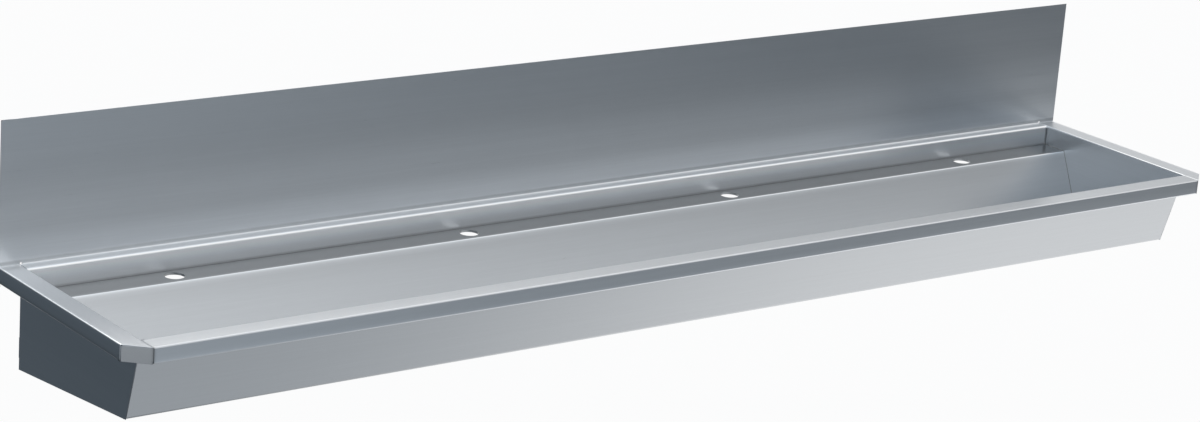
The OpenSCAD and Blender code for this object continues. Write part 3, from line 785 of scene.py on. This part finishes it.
def back_sheet():
    """Splashback, back ledge, back wall and tap ledge: one blank with its tap holes, end slots and round
    reliefs. The splashback's wings beyond the end walls stay flat down to their foot."""
    section = bend([JOINT_POINT, TAP_CORNER, (BACK_WALL_Y, -TAP_LEDGE_DROP), (BACK_WALL_Y, 0), (-SHEET, 0),
                    (-SHEET, SPLASH_TOP)], [FOLD, CREASE, LEDGE_FOLD, LEDGE_FOLD])
    length = run_of(section)[-1]
    tap_u = run_at(section, TAP_Y, -TAP_LEDGE_DROP)
    slot_foot = run_at(section, BACK_WALL_Y, CREASE + SHEET - TAP_LEDGE_DROP)
    slot_top = run_at(section, BACK_WALL_Y, -(LEDGE_FOLD + SHEET))
    wing_foot = length - (SPLASH_TOP - SPLASH_GAP)
    relief_u = length - (SPLASH_TOP - RELIEF_R)
    holes = [(tap_u, k * TAP_PITCH, TAP_HOLE_R, TAP_PATCH, TAP_PATCH) for k in (-1.5, -0.5, 0.5, 1.5)]
    holes += [(relief_u, side * END_X, RELIEF_R, RELIEF_PATCH, RELIEF_PATCH) for side in (-1, 1)]

    def kept(u, x):
        below_wing = (abs(x) > END_X) & (u < wing_foot)
        slot = (abs(x) > END_X - END_SEAM) & (u > slot_foot) & (u < slot_top)
        return ~below_wing & ~slot

    edges = np.array([HALF_LENGTH, END_X, END_X - END_SEAM])
    u, x, faces = punched_grid(lines(run_of(section), slot_foot, wing_foot), lines(edges, -edges), holes,
                               kept=kept)
    wing = abs(x) > END_X + NEAR
    u = np.where(wing, np.maximum(u, wing_foot), u)
    points = fold_up(section, u, x)
    points[wing, 1] = -SHEET
    points[wing, 2] = RIM_Z + SPLASH_TOP - (length - u[wing])
    joint_z = RIM_Z + JOINT_POINT[1] + TOUCH
    sheet_piece("folded_back", *stitched((points, faces)), back_steel, "back_sheet",
                lambda x, y, z: (z < joint_z) | (at_end(x) & (z < RIM_Z)))


def dish_rings(angle):
    """The level dish pressed in the sloping floor, as rings of points at some angles: from its circle on
    the floor over a shoulder, down the dish's wall and over its foot to the hole."""
    along, across = DISH_PATCH_R * np.sin(angle), DISH_PATCH_R * np.cos(angle)
    start = places(across, WASTE_Y + along * math.cos(FLOOR_ANGLE),
                   FLOOR_AT_WASTE - along * math.sin(FLOOR_ANGLE))
    flat = start[:, :2] - [0, WASTE_Y]
    far = np.linalg.norm(flat, axis=1)
    fall = -flat[:, 1] / far * math.tan(FLOOR_ANGLE)
    lean = math.tan(DISH_LEAN)
    shoulder_r = (DISH_R + DISH_DEPTH * lean) / (1 - fall * lean)
    radii = np.stack(np.broadcast_arrays(far, shoulder_r, DISH_R, DISH_HOLE_R))
    heights = np.stack(np.broadcast_arrays(start[:, 2], FLOOR_AT_WASTE + fall * shoulder_r, DISH_Z, DISH_Z))
    rings = eased_profile(np.stack([radii, heights], axis=-1), DISH_EASE, steps=6, closed=False)
    outward = flat / far[:, None]
    return places(rings[..., 0] * outward[:, 0], WASTE_Y + rings[..., 0] * outward[:, 1],
                  RIM_Z + rings[..., 1])


def basin_sheet():
    """Lip, front rim, front wall, floor and basin back: one blank with the dish of the waste."""
    section = bend([(FRONT_Y + LIP_RETURN, -LIP_DROP), (FRONT_Y, -LIP_DROP), (FRONT_Y, 0), (RIM_BACK_Y, 0),
                    FRONT_CORNER, BACK_CORNER, JOINT_POINT], [FOLD, FOLD, FOLD, FLOOR_FOLD, FLOOR_FOLD])
    waste_u = run_at(section, WASTE_Y, FLOOR_AT_WASTE)
    u, x, faces = punched_grid(run_of(section), [-END_X, END_X],
                               [(waste_u, 0, DISH_PATCH_R, DISH_PATCH, DISH_PATCH)],
                               side=ROUND_STEPS // 4, rings=2)
    circle_u, circle_x = u[-ROUND_STEPS:] - waste_u, x[-ROUND_STEPS:]
    dish = tube(dish_rings(np.arctan2(circle_u, circle_x)))
    points, faces = stitched((fold_up(section, u, x), faces), dish)
    joint_y = JOINT_POINT[0] - 10 * TOUCH
    joint_z = RIM_Z + JOINT_POINT[1]
    sheet_piece("folded_basin", points, faces, basin_steel, "basin_sheet",
                lambda x, y, z: at_end(x) | ((abs(z - joint_z) < TOUCH) & (y > joint_y)))


def end_cap(name, side):
    """One end: its wall, the fold at its top, the side rim with its chamfered corner, and the lip with
    its return."""
    section = bend([(END_X, -REAR_DROP), (END_X, 0), (HALF_LENGTH, 0), (HALF_LENGTH, -LIP_DROP),
                    (HALF_LENGTH - LIP_RETURN, -LIP_DROP)], [FOLD, FOLD, FOLD])
    steps = BEND_STEPS + 1
    inner_fold, outer_fold, lip_fold = (section[1 + k * steps:1 + (k + 1) * steps] for k in range(3))
    wall_top = inner_fold[0, 1]
    wall_back = meet((-END_WALL_GAP, 0), (0, 1), (0, -REAR_DROP), FLOOR_DIR)
    wall_front = meet(FRONT_OUTER, FRONT_DIR, (0, wall_top), (1, 0))

    def corner_y(x):
        return FRONT_Y + (x - END_X) * CORNER_BACK / RIM_WIDTH

    def rows(xz, y0, y1):
        return np.stack([places(xz[:, 0], y, RIM_Z + xz[:, 1]) for y in (y0, y1)], axis=1)

    wall = np.array([[(END_X, *FRONT_FOOT), (END_X, *wall_back)],
                     [(END_X, *wall_front), (END_X, -END_WALL_GAP, wall_top)]]) + [0, 0, RIM_Z]
    top = np.concatenate([inner_fold[-1:], outer_fold, lip_fold[:1]])
    straight_lip = np.array([lip_fold[0], (HALF_LENGTH, -LIP_DROP)])
    inner_edge = np.array([(END_X, 0), inner_fold[-1]])
    inner, rim, lip = (rows(strip, RIM_BACK_Y, -END_WALL_GAP)
                       for strip in (inner_fold[1:], top, section[-steps - 1:]))
    patches = [wall, np.stack([wall[1], inner[0]]), inner, rim, lip]
    for strip in (top, straight_lip, inner_edge):
        patches += [rows(strip, corner_y(strip[:, 0]), RIM_BACK_Y), rows(strip, -END_WALL_GAP, 0.0)]
    grids = [(patch * [side, 1, 1], quads(numbers(patch), turned=side > 0)) for patch in patches]
    sheet_piece(name.replace("end_cap", "folded_end"), *stitched(*grids), end_steel, name,
                lambda x, y, z: at_end(x) & (z > RIM_Z - TOUCH))


def eased_profile(corners, reach, steps=4, closed=True):
    """Corners in a plane, each turned into a quadratic curve between points reach away along its two
    legs, or MOST_EASE of a shorter leg. An open profile keeps its two ends. Axes between the first and
    the last hold more profiles."""
    p = np.asarray(corners, float)
    before, after = np.roll(p, 1, axis=0) - p, np.roll(p, -1, axis=0) - p
    far_before, far_after = (np.linalg.norm(leg, axis=-1, keepdims=True) for leg in (before, after))
    cut = np.minimum(reach, MOST_EASE * np.minimum(far_before, far_after))
    a, c = p + before * cut / far_before, p + after * cut / far_after
    t = np.linspace(0, 1, steps + 1).reshape(-1, *[1] * p.ndim)
    curve = ((1 - t) ** 2 * a + 2 * t * (1 - t) * p + t * t * c).swapaxes(0, 1)
    if closed:
        return curve.reshape(-1, *p.shape[1:])
    return np.concatenate([p[:1], curve[1:-1].reshape(-1, *p.shape[1:]), p[-1:]])


def around_waste(radius, angle, height):
    """Points round the waste's axis, at heights over the rim."""
    return places(radius * np.cos(angle), WASTE_Y + radius * np.sin(angle), RIM_Z + height)


def whole_turn(count):
    """Equal angles all round."""
    return np.arange(count) * 2 * math.pi / count


def turned(profile):
    """A profile of (radius, height over the rim) turned round the waste's axis."""
    return around_waste(profile[:, :1], whole_turn(ROUND_STEPS), profile[:, 1:])


def round_piece(name, points, material, slot, body="root", closed=True, replaced=()):
    """A piece of rows of points round the waste's axis. Rows walked anticlockwise, with the radius to the
    right and the height up, give faces that look outwards."""
    level_shading(make_piece(name, *stitched(tube(points, down=closed)), material, slot, body, replaced))


def corner_weld(name, side):
    """The ground weld in the corner of the basin and one end wall: a quarter circle of WELD_R, hollow
    side out, with its root sunk in the corner, carried along the basin's section from the top of the
    rim's fold to the crease."""
    front = bend([(RIM_BACK_Y, 0), FRONT_CORNER, BACK_CORNER, TAP_CORNER, (BACK_WALL_Y, -TAP_LEDGE_DROP),
                  (BACK_WALL_Y, 0)], [FLOOR_FOLD, FLOOR_FOLD, FOLD, CREASE])
    path = np.concatenate([[front[0] + WELD_START * FRONT_DIR], front[1:-1],
                           [(BACK_WALL_Y, CREASE + SHEET - TAP_LEDGE_DROP)]])
    heading = np.gradient(path, axis=0)
    heading /= np.linalg.norm(heading, axis=1)[:, None]
    normal = np.stack([-heading[:, 1], heading[:, 0]], axis=1)
    a = np.linspace(0, math.pi / 2, WELD_STEPS + 1)
    rise = np.append(WELD_R * (1 - np.sin(a)), -WELD_SINK)
    inward = np.append(WELD_R * (1 - np.cos(a)), -WELD_SINK)
    rows = path[:, None] + rise[:, None] * normal[:, None]
    points = places(side * (END_X - inward), rows[..., 0], RIM_Z + rows[..., 1])
    close_ends(make_piece(name, *stitched(tube(points, turned=side > 0)), weld_steel_and_corner_shade, "satin_sheet"))


def close_ends(piece):
    """Fills the open ends of a swept piece."""
    shell = bmesh.new()
    shell.from_mesh(piece.data)
    bmesh.ops.holes_fill(shell, edges=[e for e in shell.edges if e.is_boundary], sides=0)
    bmesh.ops.recalc_face_normals(shell, faces=shell.faces)
    shell.to_mesh(piece.data)
    shell.free()


def eased_copy(node_name, material, width=EDGE_EASE):
    """A CAD node's own shape with its flat faces made whole and its sharp edges rounded."""
    shell = bmesh.new()
    shell.from_mesh(cad_nodes[node_name].data)
    bmesh.ops.remove_doubles(shell, verts=shell.verts, dist=NEAR)
    bmesh.ops.dissolve_limit(shell, angle_limit=FLAT_ANGLE, verts=shell.verts, edges=shell.edges)
    mesh = bpy.data.meshes.new("eased_" + node_name)
    shell.to_mesh(mesh)
    shell.free()
    round_edges(place_piece(mesh, material, replaced=[node_name]), width, "ANGLE")


def waste_flange():
    """The waste in one piece: its dished flange, its bore, and a tail with a thread above and below the
    groove. The thread's radius is TAIL_R less THREAD_DEPTH * (1 - cos) / 2 of the height in turns less the
    angle."""
    crown = [(TAIL_R, FLANGE_Z), (FLANGE_R, FLANGE_Z), (FLANGE_R, FLANGE_Z + FLANGE_T / 2),
             (FLANGE_R - FLANGE_T, FLANGE_TOP), (THROAT_R, FLANGE_TOP), (THROAT_R, TAIL_Z),
             ((THROAT_R + TAIL_R) / 2, TAIL_Z)]
    crown = eased_profile(crown, FLANGE_EASE, closed=False)[:-1]
    groove_top = NUT_Z - GROOVE_OFFSET
    groove_foot = groove_top - GROOVE_WIDTH
    sides = [groove_top + GROOVE_SIDE, groove_top, groove_foot, groove_foot - GROOVE_SIDE]
    heights = np.sort(np.concatenate([np.linspace(TAIL_Z, FLANGE_Z, TAIL_STEPS + 1), sides]))[:-1]
    h, a = np.meshgrid(heights, whole_turn(ROUND_STEPS), indexing="ij")
    lead = np.clip(np.minimum(h - TAIL_Z, FLANGE_Z - THREAD_STOP - h) / THREAD_LEAD, 0, 1)
    radius = TAIL_R - THREAD_DEPTH * lead * (0.5 - 0.5 * np.cos(2 * math.pi * h / THREAD_PITCH - a))
    in_groove = (h <= groove_top + NEAR) & (h >= groove_foot - NEAR)
    radius = np.where(in_groove, TAIL_R - GROOVE_DEPTH, radius) - TAIL_CHAMFER * (h < TAIL_Z + NEAR)
    round_piece("polished_waste_flange", np.concatenate([around_waste(radius, a, h), turned(crown)]),
                waste_metal, "polished_waste", replaced=["waste_flange"])


def backnut():
    """The hexagonal nut: the radius at an angle is the flats' half width over the cosine of the angle
    from the nearest flat's middle, cut by a 30 degree cone at its top and foot."""
    apothem = NUT_FLATS / 2
    angle = whole_turn(NUT_STEPS)
    flat = apothem / np.cos((angle + math.pi / 6) % (math.pi / 3) - math.pi / 6)
    heights = np.concatenate([[0, NUT_EDGE / 2], np.linspace(NUT_EDGE, NUT_T - NUT_EDGE, NUT_SIDE_ROWS),
                              [NUT_T - NUT_EDGE / 2, NUT_T]])
    edge = np.minimum(heights, NUT_T - heights)
    cone = apothem - NUT_CHAMFER + edge[:, None] / math.tan(NUT_CHAMFER_ANGLE)
    outer = np.minimum(flat, cone)
    bore = TAIL_R + TAIL_CLEARANCE
    steps = np.linspace(0, 1, NUT_FACE_ROWS + 1)[1:, None]
    top = (1 - steps) * outer[-1] + steps * (bore + NUT_EDGE)
    foot = (1 - steps[::-1]) * outer[0] + steps[::-1] * (bore + NUT_EDGE)
    inside = np.linspace(NUT_T - NUT_EDGE, NUT_EDGE, NUT_BORE_ROWS)
    radius = np.concatenate([outer, top, np.full((len(inside), NUT_STEPS), bore), foot])
    height = np.concatenate([heights, np.full(len(top), NUT_T), inside, np.zeros(len(foot))])
    round_piece("moulded_backnut", around_waste(radius, angle, NUT_Z + height[:, None]), nut_plastic,
                "nut_plastic", replaced=["backnut"])


def ring(inner, outer, foot, top):
    """A gasket or washer, or the strainer's skirt: a rectangle with rounded corners, turned."""
    return turned(eased_profile([(outer, foot), (outer, top), (inner, top), (inner, foot)], GASKET_EASE))


def strainer():
    """The lift-out strainer: a cap punched in two rings of holes, a skirt that hangs in the throat, and
    a knob."""
    cap_z = FLANGE_TOP + LIFT_CLEARANCE
    cap_top = cap_z + STRAINER_T
    holes = []
    for count, ring_r in STRAINER_RINGS:
        holes += [(ring_r, k * 2 * math.pi / count, STRAINER_HOLE_R, STRAINER_PATCH,
                   STRAINER_PATCH / ring_r) for k in range(1, count + 1)]
    shoulder_r = STRAINER_R - STRAINER_T / 2
    neck_r = KNOB_R / 2
    y, x, faces = punched_grid([neck_r - NECK_LAP, shoulder_r - ROLL_WIDTH, shoulder_r],
                               STRAINER_SEAM + np.linspace(0, 2 * math.pi, STRAINER_STEPS + 1), holes,
                               side=8, rings=3, place=lambda r, turn: (-r * np.sin(turn), r * np.cos(turn)))
    drop = ROLL_DROP * np.clip((np.hypot(x, y) - shoulder_r + ROLL_WIDTH) / ROLL_WIDTH, 0, 1) ** 2
    points, faces = stitched((places(x, WASTE_Y + y, RIM_Z + cap_top - drop), faces))
    piece = make_piece("strainer_cap", points, faces, waste_metal, "polished_waste", body="strainer",
                       replaced=["strainer"])
    give_thickness(piece, STRAINER_T)
    ease_edges(piece, STRAINER_EASE)
    knob_top = cap_z + KNOB_H
    knob = eased_profile([(0, cap_z), (neck_r, cap_z), (neck_r, cap_z + KNOB_H / 2),
                          (KNOB_R, knob_top - 2 * STRAINER_T), (KNOB_R, knob_top), (0, knob_top)],
                         KNOB_EASE, steps=6, closed=False)
    round_piece("strainer_knob", turned(knob), waste_metal, "polished_waste", body="strainer", closed=False)
    skirt_r = THROAT_R - LIFT_CLEARANCE
    skirt = ring(skirt_r - SKIRT_WALL, skirt_r, cap_z - SKIRT_DEPTH, cap_z + STRAINER_T / 2)
    round_piece("strainer_skirt", skirt, waste_metal, "polished_waste", body="strainer")


def floor_place(x, back, down):
    """Points under the floor: x along the wall, back along the floor's underside from the wall's plane,
    and down."""
    y = back * math.cos(FLOOR_ANGLE) - down * math.sin(FLOOR_ANGLE)
    z = RIM_Z - REAR_DROP - back * math.sin(FLOOR_ANGLE) - down * math.cos(FLOOR_ANGLE)
    return places(x, y, z)


def sound_pad(name):
    """A bitumen sheet under the floor, embossed with square cushions: the face sinks by EMBOSS where the
    larger cosine of the two distances in CUSHIONs is over a half, and rolls off at the cut edges."""
    low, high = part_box(name)
    front = UNDER_FRONT + SOUND_PAD_MARGIN
    x = np.linspace(low.x, high.x, round((high.x - low.x) / PAD_STEP) + 1)
    v = np.linspace(front, UNDER_BACK, round((UNDER_BACK - front) / PAD_STEP) + 1)
    gx, gv = np.meshgrid(x, v)
    ridge = np.maximum(*(np.cos(2 * math.pi * run / CUSHION) for run in (gx - low.x, gv - front)))
    edge = np.minimum.reduce([gx - low.x, high.x - gx, gv - front, UNDER_BACK - gv])
    sink = EMBOSS * (np.clip(CUSHION_SLOPE * (ridge - 0.5), 0, 1) + np.exp(-edge / PAD_STEP))
    face = floor_place(gx, gv, SOUND_PAD_T - sink)
    index = numbers(face)
    border = np.concatenate([index[0, :-1], index[:-1, -1], index[-1, :0:-1], index[:0:-1, 0]])
    top = floor_place(gx.ravel()[border], gv.ravel()[border], 0.0)
    top_index = index.size + np.arange(len(border))
    faces = np.concatenate([quads(index, turned=True), quads(wrapped(np.vstack([top_index, border])))])
    close_ends(make_piece("embossed_" + name, np.concatenate([face.reshape(-1, 3), top]), faces, bitumen,
                          "sound_pad", replaced=[name]))


def wall_pads():
    """The rubber feet of the ribs: a U-shaped section round each rib's foot, drawn upwards, with
    PAD_RIBS round ribs across the face that rests on the wall."""
    low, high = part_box("wall_pads")
    half = high.x - TAP_PITCH
    inner = RIB_T / 2 + PAD_CLEARANCE
    corners = [(half, 0), (half, low.y), (inner, low.y), (inner, -PAD_T), (-inner, -PAD_T), (-inner, low.y),
               (-half, low.y), (-half, 0)]
    section = eased_profile(corners, PAD_EASE, steps=3)
    z = np.linspace(low.z, high.z, PAD_RIB_STEPS * PAD_RIBS + 1)
    share = (z - low.z) / (high.z - low.z)
    groove = PAD_GROOVE * (0.5 + 0.5 * np.cos(2 * math.pi * PAD_RIBS * share))
    on_wall = section[:, 1] > -PAD_T / 2
    y = section[:, 1] - groove[:, None] * on_wall
    grids = [tube(places(k * TAP_PITCH + section[:, 0], y, z[:, None])) for k in (-1, 0, 1)]
    close_ends(make_piece("ribbed_wall_pads", *stitched(*grids), pad_rubber, "pad_rubber",
                          replaced=["wall_pads"]))


back_sheet()
basin_sheet()
for name, side in (("left", -1), ("right", 1)):
    end_cap("end_cap_" + name, side)
    corner_weld("corner_weld_" + name, side)
    eased_copy("corner_plate_" + name, plate_steel)
    for part in ("seam_backing_", "wall_lug_", "floor_stiffener_"):
        eased_copy(part + name, bracket)
for k in range(1, 5):
    eased_copy(f"tap_plate_{k}", bracket)
    sound_pad(f"sound_pad_{k}")
for k in range(1, 4):
    eased_copy(f"support_rib_{k}", rib_steel, RIB_EASE)
eased_copy("wall_rail", bracket)
wall_pads()
waste_flange()
backnut()
round_piece("gasket_under_flange", ring(DISH_HOLE_R, FLANGE_R - FLANGE_GASKET_INSET, DISH_Z, FLANGE_Z),
            rubber, "gasket_rubber", replaced=["flange_gasket"])
round_piece("gasket_under_dish", ring(TAIL_R + TAIL_CLEARANCE, WASHER_R, GASKET_Z, DISH_Z - SHEET),
            rubber, "gasket_rubber", replaced=["lower_gasket"])
round_piece("pressed_slip_washer", ring(TAIL_R + TAIL_CLEARANCE, WASHER_R, WASHER_Z, GASKET_Z),
            washer_plastic, "washer_plastic", replaced=["slip_washer"])
strainer()


# The floor's middle and half width, where it starts to fade and ends in mirror images, and its share of
# glow
FLOOR_CENTRE = (2.6, 2.1)
FLOOR_HALF = 25.0
FLOOR_FADE = 3.2
FLOOR_END = 4.4
FLOOR_GLOW = 0.9


def lay_floor():
    """A pale floor, white to camera, glossy and transmitted rays. Only camera rays see it whole, and
    from below it is clear."""
    mesh = bpy.data.meshes.new("floor")
    corners = [(FLOOR_CENTRE[0] + FLOOR_HALF * sx, FLOOR_CENTRE[1] + FLOOR_HALF * sy, FLOOR_Z)
               for sx, sy in ((-1, -1), (1, -1), (1, 1), (-1, 1))]
    mesh.from_pydata(corners, [], [(0, 1, 2, 3)])
    floor = bpy.data.objects.new("floor", mesh)
    bpy.context.scene.collection.objects.link(floor)
    made, tree = new_material("pale_floor")
    paths = node(tree, "ShaderNodeLightPath")
    seen = paths.outputs["Is Camera Ray"]
    for kind in ("Is Glossy Ray", "Is Transmission Ray"):
        seen = math_node(tree, "MAXIMUM", seen, paths.outputs[kind])
    paint = node(tree, "ShaderNodeBsdfDiffuse", in_Color=(0.8, 0.8, 0.8, 1))
    glow = node(tree, "ShaderNodeEmission", in_Color=(1, 1, 1, 1))
    share = math_node(tree, "MULTIPLY", seen, FLOOR_GLOW)
    surface = node(tree, "ShaderNodeMixShader", in_0=share, in_1=paint.outputs[0], in_2=glow.outputs[0])
    away = vector_node(tree, "DISTANCE", object_place(tree), (*FLOOR_CENTRE, FLOOR_Z), output="Value")
    fade = node(tree, "ShaderNodeMapRange", interpolation_type="SMOOTHSTEP", in_Value=away, in_1=FLOOR_FADE,
                in_2=FLOOR_END)
    mirrored = math_node(tree, "SUBTRACT", 1.0, paths.outputs["Is Camera Ray"])
    from_below = node(tree, "ShaderNodeNewGeometry").outputs["Backfacing"]
    faded = math_node(tree, "MULTIPLY", fade.outputs[0], mirrored)
    clearness = math_node(tree, "MAXIMUM", faded, from_below)
    clear = node(tree, "ShaderNodeBsdfTransparent")
    show(tree, node(tree, "ShaderNodeMixShader",
                    **numbered((clearness, surface.outputs[0], clear.outputs[0]))))
    mesh.materials.append(made)


lay_floor()
